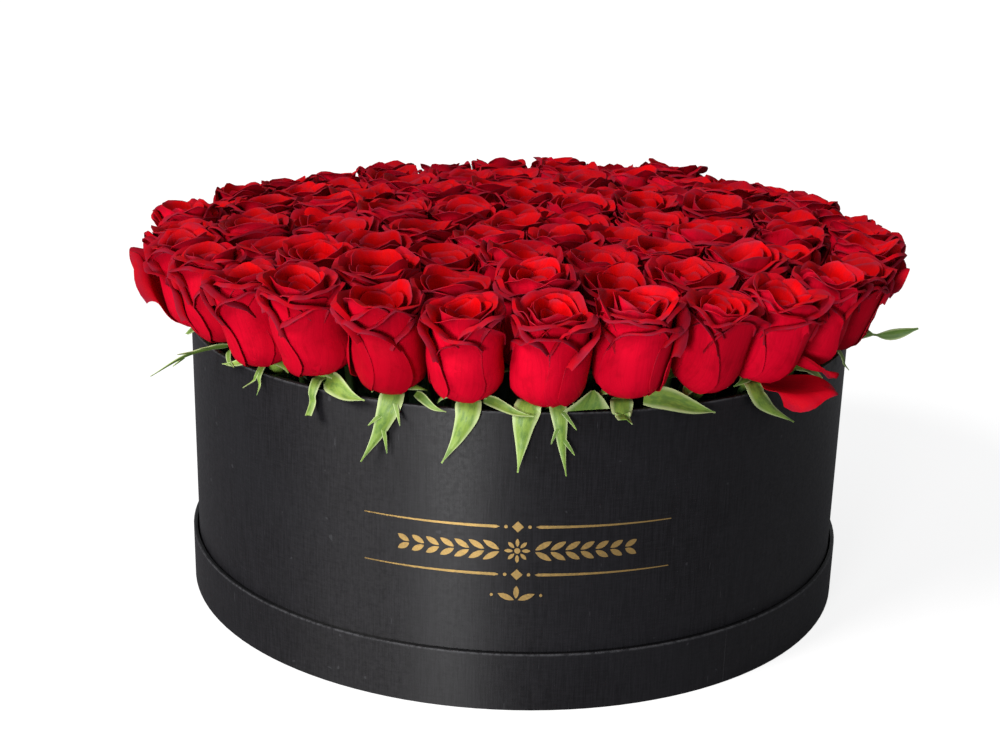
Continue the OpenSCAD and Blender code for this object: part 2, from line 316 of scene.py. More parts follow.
def black_paper(name, edge_z, edge_r, seam, tone=1.0):
    """Near-black linen-embossed paper: fine upright threads, a faint cross weave, light scuffs
    and scratches. Along the fold at height edge_z and radius edge_r it is rubbed pale, partly
    real wear and partly a painted highlight where the turned edge catches the light, and the
    ledge inside the fold carries painted shade. It has a glued overlap at azimuth seam."""
    s = Shader(name, Specular_IOR_Level=0.30, Anisotropic=0.75, Anisotropic_Rotation=0.25)
    place = s.place()
    axes = s.node("ShaderNodeSeparateXYZ", {"Vector": place}).outputs
    upright = s.noise(s.stretched(place, (1, 1, 0.045)), 1500, 3, 0.6)
    cross = s.noise(s.stretched(place, (0.12, 0.12, 1)), 1300, 2, 0.5)
    fibre = s.noise(place, 420, 4, 0.65)
    patches = s.noise(place, 14, 3, 0.5)
    specks = s.span(s.noise(place, 190, 1, 0.4), 0.765, 0.80)
    scratches = s.span(s.noise(s.stretched(place, (1, 1, 0.10), (0.35, 0.5, 0)), 800, 1, 0.4), 0.785, 0.81)
    weave = s.math("ADD", s.math("MULTIPLY", upright, 0.7), s.math("MULTIPLY", cross, 0.3))
    dark = rgb(0.0036 * tone, 0.0033 * tone, 0.0042 * tone)
    light = rgb(0.0100 * tone, 0.0094 * tone, 0.0114 * tone)
    colour = s.mix(s.span(weave, 0.35, 0.65), dark, light)
    colour = s.mix(s.span(patches, 0.4, 0.7, 0.0, 0.35), colour, rgb(0.010, 0.010, 0.012))
    colour = s.mix(s.math("MULTIPLY", specks, 0.4), colour, rgb(0.045, 0.045, 0.050))
    colour = s.mix(s.math("MULTIPLY", scratches, 0.35), colour, rgb(0.05, 0.05, 0.055))
    above = s.span(s.math("SUBTRACT", axes[2], edge_z - 0.0014), 0.0, 0.0012)
    squares = [s.math("MULTIPLY", axis, axis) for axis in axes[:2]]
    radius = s.math("SQRT", s.math("ADD", squares[0], squares[1]))
    on_fold = s.span(s.math("SUBTRACT", radius, edge_r - 0.0011), 0.0, 0.0007)
    # painted shade: the ledge at the top of the paper, inside the fold, is darkened almost to black, as if
    # lying in shadow
    ledge_painted_shade = s.math("MULTIPLY", above, s.math("SUBTRACT", 1.0, on_fold))
    colour = s.mix(ledge_painted_shade, colour, rgb(0.0015, 0.0015, 0.002))
    # pale along the fold: partly real rubbed wear, partly a painted highlight where the turned edge catches
    # the light
    rubbed_edge_and_highlight = s.math("MULTIPLY", s.math("MULTIPLY", above, on_fold), s.span(fibre, 0.35, 0.6, 0.15, 0.75))
    colour = s.mix(rubbed_edge_and_highlight, colour, rgb(0.060, 0.060, 0.065))
    s.plug("Base Color", colour)
    s.plug("Roughness", s.span(fibre, 0.3, 0.7, 0.44, 0.56))
    around = s.math("ARCTAN2", axes[0], s.math("MULTIPLY", axes[1], -1.0))
    past = s.math("SUBTRACT", around, seam)
    overlap = s.math("SUBTRACT", s.span(past, 0.0, 0.0022), s.span(past, 0.0022, 0.35))
    grain = s.bump(weave, 0.35, 0.00012)
    grain = s.bump(overlap, 0.8, 0.0004, grain)
    s.plug("Normal", s.bump(fibre, 0.12, 0.0001, grain))
    return s.material


def gold_foil():
    s = Shader("gold_foil", Metallic=1.0)
    place = s.place()
    worn = s.noise(place, 900, 4, 0.7)
    s.plug("Base Color", s.mix(s.span(worn, 0.35, 0.7), rgb(0.82, 0.56, 0.22), rgb(0.62, 0.39, 0.13)))
    s.plug("Roughness", s.span(worn, 0.3, 0.7, 0.28, 0.5))
    s.plug("Normal", s.bump(s.noise(s.stretched(place, (1, 1, 0.05)), 1500), 0.25, 0.0001))
    return s.material


def grey_card():
    s = Shader("grey_card", Roughness=0.9)
    place = s.place()
    pulp = s.noise(place, 600, 5, 0.7)
    s.plug("Base Color", s.mix(s.span(pulp, 0.3, 0.7), rgb(0.22, 0.21, 0.19), rgb(0.34, 0.33, 0.30)))
    s.plug("Normal", s.bump(pulp, 0.4, 0.0003))
    return s.material


def liner_plastic():
    s = Shader("liner_plastic")
    place = s.place()
    ripple = s.noise(place, 60, 3, 0.5)
    s.plug("Base Color", s.mix(ripple, rgb(0.018, 0.045, 0.028), rgb(0.035, 0.075, 0.05)))
    s.plug("Roughness", s.span(ripple, 0.3, 0.7, 0.36, 0.44))
    s.plug("Normal", s.bump(ripple, 0.12, 0.0006))
    return s.material


def floral_foam():
    s = Shader("floral_foam", Roughness=0.95)
    place = s.place()
    cells = s.node("ShaderNodeTexVoronoi", {"Vector": place, "Scale": 900.0}).outputs["Distance"]
    blotch = s.noise(place, 45, 4, 0.6)
    s.plug("Base Color", s.mix(blotch, rgb(0.025, 0.085, 0.035), rgb(0.06, 0.16, 0.075)))
    s.plug("Normal", s.bump(cells, 0.6, 0.0005))
    return s.material


def rose_petal():
    """Velvety petal. tone holds the share of the way to the lip, inner face, closeness to an
    edge and a tint; grain is the place on the flat petal in millimetres, and its layer."""
    s = Shader("rose_petal", Specular_IOR_Level=0.035)
    tone = s.node("ShaderNodeAttribute", attribute_name="tone")
    parts = s.node("ShaderNodeSeparateColor", {"Color": tone.outputs["Color"]})
    along, inner, edge = parts.outputs[0], parts.outputs[1], parts.outputs[2]
    tint = tone.outputs["Alpha"]
    grain = s.node("ShaderNodeAttribute", attribute_name="grain").outputs["Vector"]
    layer = s.node("ShaderNodeSeparateXYZ", {"Vector": grain}).outputs[2]
    flat = s.stretched(grain, (1, 1, 9))
    veins = s.noise(s.stretched(flat, (0.9, 0.05, 1)), 1.0, 3, 0.55)
    mottle = s.noise(s.stretched(flat, (0.13, 0.13, 1)), 1.0, 3, 0.6)
    velvet = s.noise(flat, 5.0, 2, 0.6)
    outside = s.mix(tint, rgb(0.40, 0.0008, 0.010), rgb(0.68, 0.0018, 0.022))
    inside = s.mix(tint, rgb(0.46, 0.0004, 0.0012), rgb(0.70, 0.0006, 0.0020))
    # painted shade: inner faces darken towards the foot, deep inside the cup
    painted_depth_shade = s.span(along, 0.35, 0.80)
    inside = s.mix(painted_depth_shade, rgb(0.20, 0.0004, 0.002), inside)
    inside = s.mix(s.span(layer, 0.45, 0.85, 0.0, 0.8), inside, rgb(0.35, 0.0014, 0.010))
    colour = s.mix(inner, outside, inside)
    colour = s.mix(s.span(veins, 0.40, 0.75, 0.0, 0.22), colour, rgb(0.22, 0.0006, 0.006))
    colour = s.mix(s.span(mottle, 0.45, 0.75, 0.0, 0.35), colour, rgb(0.24, 0.0008, 0.006))
    # painted sheen: a dusky grey-pink on the lips of the outer petals, standing in for the velvet catching
    # the light
    painted_lip_sheen = s.math("MULTIPLY", s.span(along, 0.86, 1.0), s.span(mottle, 0.34, 0.60))
    painted_lip_sheen = s.math("MULTIPLY", painted_lip_sheen, s.span(layer, 0.2, 0.8, 0.12, 0.55))
    colour = s.mix(painted_lip_sheen, colour, rgb(0.185, 0.011, 0.030))
    # petal edges turn greyish burgundy: partly their own darker edge, partly a painted highlight along the
    # lips
    rim = s.math("MULTIPLY", s.span(edge, 0.5, 1.0), s.span(mottle, 0.36, 0.66, 0.05, 0.6))
    rim = s.math("MULTIPLY", rim, s.span(along, 0.6, 0.95, 0.15, 1.0))
    colour = s.mix(rim, colour, rgb(0.24, 0.022, 0.044))
    s.plug("Base Color", colour)
    s.plug("Roughness", s.span(velvet, 0.3, 0.7, 0.55, 0.72))
    fine = s.bump(velvet, 0.08, 0.00012)
    s.plug("Normal", s.bump(veins, 0.16, 0.0005, fine))
    return s.material


def rose_green(name, dark, light, edge):
    """Sepal, hip, leaf or stem: veined green with a pale edge. tone's red is the distance
    from the midrib, and grain is the place on the flat blade in millimetres."""
    s = Shader(name, Specular_IOR_Level=0.4)
    tone = s.node("ShaderNodeAttribute", attribute_name="tone")
    parts = s.node("ShaderNodeSeparateColor", {"Color": tone.outputs["Color"]})
    side, tint = parts.outputs[0], tone.outputs["Alpha"]
    flat = s.node("ShaderNodeAttribute", attribute_name="grain").outputs["Vector"]
    veins = s.noise(s.stretched(flat, (2.2, 0.22, 1)), 1.0, 4, 0.6)
    colour = s.mix(s.math("MULTIPLY_ADD", tint, 0.6, s.math("MULTIPLY", veins, 0.4)), dark, light)
    blotch = s.noise(s.stretched(flat, (0.5, 0.16, 1)), 1.0, 3, 0.6)
    colour = s.mix(s.span(blotch, 0.42, 0.66, 0.0, 0.6), colour, dark)
    colour = s.mix(s.span(side, 0.55, 1.0, 0.0, 0.8), colour, edge)
    s.plug("Base Color", colour)
    s.plug("Roughness", s.span(veins, 0.3, 0.7, 0.42, 0.6))
    s.plug("Normal", s.bump(veins, 0.3, 0.0004))
    return s.material


# ---------------------------------------------------------------- roses

FOOT_R = 3.2            # every petal starts on this radius, in millimetres
FINE = 4                # steps of a petal's curve from one row of points to the next
ROW_CROWDING = 0.5      # how far rows gather at the round foot and at the lip
SQUARER = 0.6           # 0 for a cup with a round bottom, 1 for one with a flatter bottom
LIP_TAPER = 0.55        # how much narrower the turned lip is at a petal's sides
MOST_FLARE = 2.05       # a lip turned further than this would run into its own cup, in radians
UPTURN = 0.62           # how far a leaning rose turns its mouth back up to the light
CROWDING = 1.14         # how much wider the inner roses open, so that they press on each other
HEAD_H = 50.0           # height of a rose head, in millimetres
SOFT = 3.0              # depth over which a petal gives way to a neighbour, in millimetres
HEAD_GAP = 0.25         # from a head to the plane halfway to its neighbour, in millimetres
NEAR = 0.062            # roses whose feet are further apart than this, in metres, don't meet
LEAN_AT = 45            # height at which the space between two leaning roses is measured again
BLOOM_SEED, STEM_SEED, SEPAL_SEED = 4100, 7300, 9100


class Petal:
    """One petal's size and bend, in millimetres and radians. It rises from the foot in a round
    to its belly, draws in to top at lip_z, and then turns outwards over the length of its lip.

    half is half the angle that it spans, and overlap sets one side further out than the other.
    flare turns the lip outwards, roll turns its sides further, and curl its edge. pinch narrows
    the petal upwards, and twist turns it about the rose's axis. round_off and corner lower its
    top towards the sides, point draws out its tip, and nick roughens its edge. ruffle waves the
    lip, facet creases the petal lengthwise, and open_out leans all of it outwards. layer is 0 in
    the heart and 1 outermost, and cols and rows are its points."""

    def __init__(self, belly, top, lip_z, lip, half, flare, curl=0.3, roll=0.0, pinch=0.0, twist=0.0,
                 overlap=0.6, round_off=0.10, corner=0.0, point=0.015, nick=0.006, ruffle=0.0, facet=0.0,
                 open_out=0.0, layer=0.0, cols=9, rows=10):
        self.belly, self.top, self.lip_z, self.lip, self.half = belly, top, lip_z, lip, half
        self.flare, self.curl, self.roll, self.pinch, self.twist = flare, curl, roll, pinch, twist
        self.overlap, self.round_off, self.corner, self.point = overlap, round_off, corner, point
        self.nick, self.ruffle, self.facet, self.open_out = nick, ruffle, facet, open_out
        self.layer, self.cols, self.rows = layer, cols, rows


def petal_sheet(p, facing, rng):
    """Outer sheet of a petal as rows x cols points, with each point's share of the way to the
    lip, its place across the petal, and its distance from the nearest edge."""
    u = np.linspace(-1, 1, p.cols)[None, :]
    wave = rng.uniform(0, 2 * math.pi, 4)
    share = np.linspace(0, 1, FINE * (p.rows - 1) + 1)[:, None]
    share = share - ROW_CROWDING * np.sin(2 * math.pi * share) / (2 * math.pi)
    round_r = p.belly - FOOT_R
    bottom = round_r * math.pi / 2
    upright = max(p.lip_z - round_r, 2.0)
    tip = 1 - p.round_off * np.abs(u) ** 2.4 - p.corner * np.abs(u) ** 8 + p.point * np.exp(-(u / 0.2) ** 2)
    tip = tip + p.nick * (np.sin(5 * u + wave[0]) + 0.6 * np.sin(11 * u + wave[1]))
    length = (bottom + upright + p.lip) * tip
    lip_length = p.lip * (1 - LIP_TAPER * np.abs(u) ** 4)
    lip_from = length - lip_length
    s = share * length
    draw_in = (p.belly - p.top) * math.pi / 2 / upright
    risen = np.clip((s - bottom) / (lip_from - bottom), 0, 1)
    around = np.clip(s / bottom, 0, 1)
    around = around + SQUARER * (around ** 2 * (3 - 2 * around) - around)
    heading = np.where(s < bottom, math.pi / 2 * (1 - around), -draw_in * np.sin(math.pi * risen))
    heading = heading + p.open_out * around
    lip = np.clip((s - lip_from) / lip_length, 0, 1)
    flare = np.minimum(p.flare + p.roll * np.abs(u + rng.uniform(-0.25, 0.25)) ** 2.2, MOST_FLARE)
    heading = heading + flare * lip ** 1.3 + p.curl * lip ** 5
    step = np.diff(s, axis=0)
    middle = (heading[1:] + heading[:-1]) / 2
    start = np.zeros((1, p.cols))
    r = FOOT_R + np.concatenate([start, np.cumsum(np.sin(middle) * step, axis=0)])
    z = np.concatenate([start, np.cumsum(np.cos(middle) * step, axis=0)])
    r, z, s, share, lip = r[::FINE], z[::FINE], s[::FINE], share[::FINE], lip[::FINE]
    r = r + p.overlap * u * np.minimum(3 * share, 1) + p.ruffle * lip * np.sin(3.1 * u + wave[2])
    flattened = np.abs(u - rng.uniform(-0.4, 0.4)) - 0.5
    r = r + p.facet * flattened * np.sin(math.pi * np.minimum(1.4 * share, 1))
    z = z + 0.7 * p.ruffle * lip * np.sin(4.3 * u + wave[3])
    spread = (0.5 + 0.5 * np.minimum(2 * share, 1)) * (1 - p.pinch * share ** 3)
    angle = facing + p.twist * share + p.half * u * spread
    sheet = np.stack([r * np.cos(angle), r * np.sin(angle), z], -1)
    to_edge = np.minimum(length - s, (1 - np.abs(u)) * p.half * spread * np.maximum(r, p.belly * 0.8))
    return sheet, share + 0 * u, u + 0 * share, to_edge


def add_petal(gathered, p, facing, tint, rng):
    """One petal as a thin closed shell, with its tone and grain for the material."""
    sheet, share, across, to_edge = petal_sheet(p, facing, rng)
    points = shell_points(sheet, 0.55 - 0.27 * share)
    count = p.rows * p.cols
    tone = np.zeros((2 * count, 4))
    tone[:, 0] = np.tile(share.ravel(), 2)
    tone[count:, 1] = 1.0
    tone[:, 2] = np.tile(np.exp(-to_edge / 0.9).ravel(), 2)
    tone[:, 3] = np.clip(tint + rng.uniform(-0.18, 0.18), 0, 1)
    shift = rng.uniform(0, 300, 2)
    flat = np.stack([across * p.half * p.belly + shift[0], share * (p.lip_z + p.lip) + shift[1],
                     0 * share + p.layer], -1).reshape(-1, 3)
    gathered.add(points, shell_faces(p.rows, p.cols), tone, np.tile(flat, (2, 1)))


def rose_layers(rng, open_by):
    """The rose's petals from its heart outwards as (petal, direction). open_by is 0 for a tight
    rose and 1 for one that has opened."""
    deg = math.radians
    hand = rng.choice((-1, 1))
    turn = rng.uniform(0, 2 * math.pi)
    out = []

    def layer(count, start, uneven, **sizes):
        """count petals spread round from the angle start, their lips up to uneven higher or lower."""
        for i in range(count):
            given = dict(sizes)
            given["lip_z"] += uneven * rng.uniform(-1, 1)
            given["flare"] *= rng.uniform(0.55, 1.35)
            given["roll"] = given.get("roll", 0.0) * rng.uniform(0.3, 1.8)
            given["top"] *= rng.uniform(0.97, 1.03)
            given["overlap"] = hand * given.get("overlap", 0.6)
            given["twist"] = hand * given.get("twist", 0.0)
            facing = turn + start + 2 * math.pi * i / count + rng.uniform(-0.2, 0.2)
            out.append((Petal(**given), facing))

    layer(1, 0.0, 0.5, belly=3.9, top=2.8, lip_z=37.5, lip=3, half=deg(320), flare=deg(6), overlap=1.5,
          round_off=0.03, layer=0.0, cols=26, rows=6)
    layer(2, 0.4, 1.2, belly=6.8, top=5.0, lip_z=40, lip=3.5, half=deg(105), flare=deg(14),
          round_off=0.07, layer=0.1, cols=11, rows=7)
    layer(3, 1.5, 1.8, belly=10.0, top=8.0 + 0.8 * open_by, lip_z=42.5, lip=4.5, half=deg(78),
          flare=deg(18 + 14 * open_by), round_off=0.10, ruffle=0.6, layer=0.25, cols=11, rows=8)
    layer(3, 2.1, 2.2, belly=13.0, top=11.0 + 1.2 * open_by, lip_z=44.5, lip=5.0, half=deg(76),
          flare=deg(26 + 22 * open_by), ruffle=0.8, roll=deg(15), layer=0.4, cols=12, rows=10)
    layer(4, 2.9, 2.0, belly=15.2, top=13.6 + 1.4 * open_by, lip_z=44.0, lip=7.0, half=deg(60),
          flare=deg(66 + 34 * open_by), ruffle=1.1, roll=deg(15), curl=0.5, corner=0.10, layer=0.55,
          cols=12, rows=12)
    layer(4, 3.6, 1.6, belly=16.8, top=15.6 + 1.2 * open_by, lip_z=43, lip=8.0, half=deg(62),
          flare=deg(88 + 36 * open_by), ruffle=1.2, roll=deg(22), curl=0.7, pinch=0.08, overlap=0.9,
          facet=0.8, round_off=0.10, corner=0.10, layer=0.7, cols=14, rows=14)
    layer(3, 4.4, 1.8, belly=17.7, top=16.8 + 0.9 * open_by, lip_z=40.5, lip=8.5, half=deg(82),
          flare=deg(92 + 40 * open_by), ruffle=1.3, roll=deg(38), curl=0.8, pinch=0.2, twist=deg(10),
          overlap=1.0, facet=1.2, round_off=0.12, corner=0.12, point=0.03, layer=0.85, cols=17, rows=16)
    layer(3, 5.2, 2.4, belly=18.5, top=17.9 + 0.4 * open_by, lip_z=37, lip=8.5, half=deg(92),
          flare=deg(72 + 50 * open_by), ruffle=1.2, roll=deg(50), curl=0.6, pinch=0.3, twist=deg(18),
          overlap=1.3, facet=1.6, round_off=0.16, corner=0.13, point=0.04, layer=1.0, cols=19, rows=18)
    return out


def crumple(points, rng):
    """Bends a whole head softly, more towards its top, so that its petals stay nested but no
    rose is a true round."""
    rise = np.clip(points[:, 2:] / HEAD_H, 0, 1)
    moved = points.copy()
    for length, push in ((38, 2.0), (24, 1.4), (14, 0.75)):
        wave = rng.normal(size=3)
        wave *= 2 * math.pi / length / np.linalg.norm(wave)
        way = rng.normal(size=3)
        way *= push / np.linalg.norm(way)
        moved += way * np.sin(points @ wave + rng.uniform(0, 2 * math.pi))[:, None] * (0.2 + 0.8 * rise)
    bend = rng.uniform(-2.2, 2.2, 2)
    moved[:, :2] += bend * rise ** 2
    return moved


def turn_up(points, lean):
    """Tilts the upper part of a head that leans along +X back towards upright."""
    rise = np.clip(points[:, 2:] / HEAD_H, 0, 1)
    tilt = math.tan(UPTURN * lean)
    turned = points.copy()
    turned[:, 2] += tilt * points[:, 0] * rise[:, 0]
    turned[:, 0] -= 0.3 * tilt * points[:, 2] * rise[:, 0] ** 2
    return turned


def keep_apart(points, neighbours):
    """Presses a rose flat, softly, where a neighbour's head would be in its way. Each neighbour
    is (direction, half distance at the foot, how fast that grows with height)."""
    for direction, reach, growth in neighbours:
        along = points[:, 0] * direction[0] + points[:, 1] * direction[1]
        limit = reach + growth * points[:, 2] - HEAD_GAP
        over = along - (limit - SOFT)
        pressed = np.where(over > 0, SOFT * (1 - np.exp(-np.maximum(over, 0) / SOFT)), over)
        move = pressed - over
        points[:, 0] += move * direction[0]
        points[:, 1] += move * direction[1]
    return points


def plain_solids(node):
    """The area-weighted centre of each separate solid in a node of the frame. Faces are taken
    in the mesh's own order, so that the sums come out the same each run."""
    work = bmesh.new()
    work.from_mesh(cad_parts[node].data)
    bmesh.ops.remove_doubles(work, verts=work.verts, dist=1e-6)
    centres = []
    seen = set()
    for first in work.faces:
        if first in seen:
            continue
        seen.add(first)
        island = [first]
        area, total = 0.0, Vector()
        while island:
            face = island.pop()
            area += face.calc_area()
            total += face.calc_area() * face.calc_center_median()
            for edge in face.edges:
                for other in edge.link_faces:
                    if other not in seen:
                        seen.add(other)
                        island.append(other)
        centres.append(total / area)
    work.free()
    return sorted(centres, key=lambda c: math.atan2(c.y, c.x))


def rose_places():
    """Foot, axis and ring of every rose, read from the frame's plain roses."""
    cup = plain_solids("rose_outer_petals_centre")[0]
    foot_depth = cup.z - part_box("rose_outer_petals_centre")[0].z
    places = []
    for ring, name in enumerate(RING_NAMES):
        hearts = plain_solids(f"rose_hearts_{name}")
        for cup in plain_solids(f"rose_outer_petals_{name}"):
            heart = min(hearts, key=lambda h: (h - cup).length)
            axis = (heart - cup).normalized()
            places.append((ring, cup - axis * foot_depth, axis))
    return places


def rose_matrix(foot, axis):
    """Turns a rose's own millimetres into metres: +Z along its axis, +X away from the middle."""
    away = Vector((foot.x, foot.y, 0))
    away = away.normalized() if away.length > 1e-4 else Vector((1, 0, 0))
    side = axis.cross(away).normalized()
    away = side.cross(axis)
    turn = Matrix((away, side, axis)).transposed()
    return np.array(Matrix.Translation(foot) @ turn.to_4x4() @ Matrix.Scale(MM, 4))


def neighbours_of(index, places, matrix):
    """Each near rose as (direction, half distance at the foot, growth with height), seen from
    this rose's own space."""
    inverse = np.linalg.inv(matrix)
    near = []
    for other, (_, foot, axis) in enumerate(places):
        if other == index or (foot - places[index][1]).length > NEAR:
            continue
        low = (inverse @ np.array([*foot, 1.0]))[:2]
        high = (inverse @ np.array([*(foot + axis * (LEAN_AT * MM)), 1.0]))[:2]
        reach_low, reach_high = np.linalg.norm(low) / 2, np.linalg.norm(high) / 2
        near.append((low / np.linalg.norm(low), reach_low, (reach_high - reach_low) / LEAN_AT))
    return near


# Petals that have come loose and flop outwards, by their rose's azimuth in degrees. Each is
# (side, how far it opens at its foot, height of its lip, length of the lip, bend outwards,
# half width), angles in degrees and lengths in millimetres; side 0 faces away from the middle.
STRAY_PETALS = {
    -170: [(-35, 24, 33, 11, 45, 36)],
    -158: [(-36, 12, 27, 17, 62, 34)],
    -146: [(-30, 0, 26, 12, 70, 40)],
    -50: [(12, 60, 24, 12, 50, 42)],
    -38: [(-58, 64, 24, 12, 50, 42)],
    -14: [(-18, 0, 30, 12, 88, 42)],
    -2: [(-20, 0, 31, 12, 84, 44)],
}


BACK_RIGHT = 64         # azimuth of the largest outer roses, in degrees
BACK_LEFT = 148         # azimuth of the smallest outer roses, in degrees


def outer_growth(ring, azimuth):
    """How much larger the roses of the two outer rings are at the right of the back, and how
    much smaller at its left."""
    if ring < RINGS - 1:
        return 0.0
    to_right = max(math.cos(azimuth - math.radians(BACK_RIGHT)), 0)
    to_left = max(math.cos(azimuth - math.radians(BACK_LEFT)), 0)
    return 0.08 * to_right ** 6 - 0.07 * to_left ** 2


def make_roses(petal):
    """One head per plain rose of the frame. Returns where the roses are."""
    places = rose_places()
    for index, (ring, foot, axis) in enumerate(places):
        rng = np.random.default_rng(BLOOM_SEED + index)
        matrix = rose_matrix(foot, axis)
        bloom = Gathered()
        tint = rng.uniform(0.1, 0.9)
        for shape, facing in rose_layers(rng, rng.uniform(0, 1)):
            add_petal(bloom, shape, facing, tint, rng)
        azimuth = round(math.degrees(math.atan2(foot.y, foot.x)))
        for side, opened, lip_z, lip, flare, half in STRAY_PETALS.get(azimuth, []) if ring == RINGS else []:
            stray = Petal(belly=19.2, top=19.6, lip_z=lip_z, lip=lip, half=math.radians(half),
                          flare=math.radians(flare), roll=0.5, pinch=0.3, round_off=0.20, point=0.05,
                          corner=0.12, nick=0.02, ruffle=3.0, open_out=math.radians(opened), layer=0.9,
                          cols=19, rows=20)
            add_petal(bloom, stray, math.radians(side), tint, rng)
        near = neighbours_of(index, places, matrix)
        grown = rng.uniform(0.98, 1.07) + outer_growth(ring, math.radians(azimuth))
        head = crumple(np.concatenate(bloom.points) * grown, rng)
        if ring < RINGS:
            head[:, :2] *= CROWDING
        whole = keep_apart(turn_up(head, math.acos(min(axis.z, 1.0))), near)
        bloom.points = [whole]
        piece = bloom.build(f"rose_bloom_{index + 1:02d}", petal, matrix)
        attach(piece, "arrangement")
        ring_name = RING_NAMES[ring]
        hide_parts(f"rose_outer_petals_{ring_name}", f"rose_hearts_{ring_name}")
    return places


# ---------------------------------------------------------------- stems, hips and sepals

def to_world(points, matrix):
    """Points of a rose's own space in the frame's metres."""
    return points @ matrix[:3, :3].T + matrix[:3, 3]


BLADE_THICKNESS = 0.45


def add_blade(gathered, path, across, widths, fold, tint, cols=5):
    """A leaf-like blade along a path, in millimetres. across is the way of its width at each
    point, and fold lifts its edges from its midrib."""
    ahead = np.gradient(path, axis=0)
    face = np.cross(across, ahead)
    face /= np.linalg.norm(face, axis=1, keepdims=True) + 1e-9
    u = np.linspace(-1, 1, cols)
    reach = (u[None, :] * widths[:, None])[..., None]
    sheet = path[:, None] + reach * across[:, None] + np.abs(reach) * fold * face[:, None]
    rows = len(path)
    points = shell_points(sheet, np.full((rows, cols), BLADE_THICKNESS))
    tone = np.zeros((2 * rows * cols, 4))
    tone[:, 0] = np.tile(np.abs(u), 2 * rows)
    tone[:, 3] = tint
    run = np.concatenate([[0], np.cumsum(np.linalg.norm(np.diff(path, axis=0), axis=1))])
    flat = np.stack([reach[..., 0], np.repeat(run[:, None], cols, 1), np.full((rows, cols), 90 * tint)], -1)
    gathered.add(points, shell_faces(rows, cols), tone, np.tile(flat.reshape(-1, 3), (2, 1)))


def add_plain(gathered, points, faces, tint):
    """Points and faces with one tint and with their own place as grain."""
    tone = np.zeros((len(points), 4))
    tone[:, 3] = tint
    gathered.add(points, faces, tone, points + 50 * tint)


def blade_widths(rows, width, base=0.6):
    """Half widths of a sepal, which swells from its base and then tapers to a fine tip."""
    s = np.linspace(0, 1, rows)
    swell = base + (1 - base) * np.sin(math.pi / 2 * np.minimum(2 * s, 1))
    taper = 1.2 * (1 - s ** 2.2) ** 1.4
    return width / 2 * np.maximum(swell * taper, 0.04)


HIP = [(2.7, -10.0), (3.1, -9.2), (4.1, -7.4), (4.7, -5.0), (4.6, -2.8), (4.0, -1.0), (3.6, 0.4)]
STEM_R = 2.6
STEM_L = 118.0


def add_calyx(gathered, matrix, arms, length, rng):
    """Hip and the sepals that spread below the petals, bent down by different amounts."""
    profile = [(r * rng.uniform(0.97, 1.03), z) for r, z in HIP]
    points, faces = lathe(profile, 14)
    tint = rng.uniform(0.3, 1.0)
    add_plain(gathered, to_world(points, matrix) / MM, faces, tint)
    for arm in arms:
        droop = rng.uniform(math.radians(25), math.radians(95))
        reach = length * rng.uniform(0.8, 1.2)
        rows = 9
        s = np.linspace(0, 1, rows)
        heading = math.radians(12) - droop * s ** 1.4
        step = reach / (rows - 1)
        out = 3.6 + np.concatenate([[0], np.cumsum(np.cos(heading[:-1]) * step)])
        rise = -1.2 + np.concatenate([[0], np.cumsum(np.sin(heading[:-1]) * step)])
        turn = arm + rng.uniform(-0.2, 0.2) + rng.uniform(-0.35, 0.35) * s ** 2
        path = np.stack([out * np.cos(turn), out * np.sin(turn), rise], -1)
        across = np.stack([-np.sin(turn), np.cos(turn), 0 * turn], -1)
        world = to_world(path, matrix) / MM
        add_blade(gathered, drape_on_rim(world), across @ matrix[:3, :3].T / MM,
                  blade_widths(rows, rng.uniform(4.5, 6.0)), 0.35, rng.uniform(0, 1))


def drape_on_rim(path):
    """Lifts a path's points that would lie in the box's wall onto its rim."""
    radius = np.hypot(path[:, 0], path[:, 1])
    over_wall = radius > BOX_INNER_R / MM - 1.5
    lowest = RIM_Z / MM + 0.9
    path[:, 2] = np.where(over_wall, np.maximum(path[:, 2], lowest), path[:, 2])
    return path


def add_stem(gathered, matrix, rng):
    """A slightly bent stem with swollen nodes and a few short thorns."""
    rows = 15
    z = np.linspace(-STEM_L, HIP[0][1] + 0.6, rows)
    bend = rng.uniform(-1.2, 1.2, 2)
    s = (z - z[0]) / (z[-1] - z[0])
    bow = np.sin(math.pi * s)
    path = np.stack([bend[0] * bow, bend[1] * bow, z], -1)
    knots = rng.uniform(0.45, 0.85, 2)
    radii = STEM_R * (1 + 0.14 * sum(np.exp(-((s - knot) / 0.03) ** 2) for knot in knots))
    points, faces = tube(path, radii, 12)
    tint = rng.uniform(0, 1)
    add_plain(gathered, to_world(points, matrix) / MM, faces, tint)
    for _ in range(3):
        at, turn = rng.uniform(0.5, 0.93), rng.uniform(0, 2 * math.pi)
        way = np.array([math.cos(turn), math.sin(turn), 0])
        foot = np.array([bend[0] * math.sin(math.pi * at), bend[1] * math.sin(math.pi * at),
                         z[0] + at * (z[-1] - z[0])])
        thorn = np.stack([foot + way * reach + np.array([0, 0, lift])
                          for reach, lift in ((2.0, 0.0), (3.4, -0.3), (5.0, -1.2))])
        points, faces = tube(thorn, (1.3, 0.75, 0.08), 6)
        add_plain(gathered, to_world(points, matrix) / MM, faces, tint * 0.5)


def build_green(gathered, name, material, slot_name, *nodes):
    """Makes one piece, riding with the roses, from parts gathered in millimetres."""
    gathered.points = [points * MM for points in gathered.points]
    piece = gathered.build(name, material)
    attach(piece, "arrangement")
    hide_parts(*nodes)


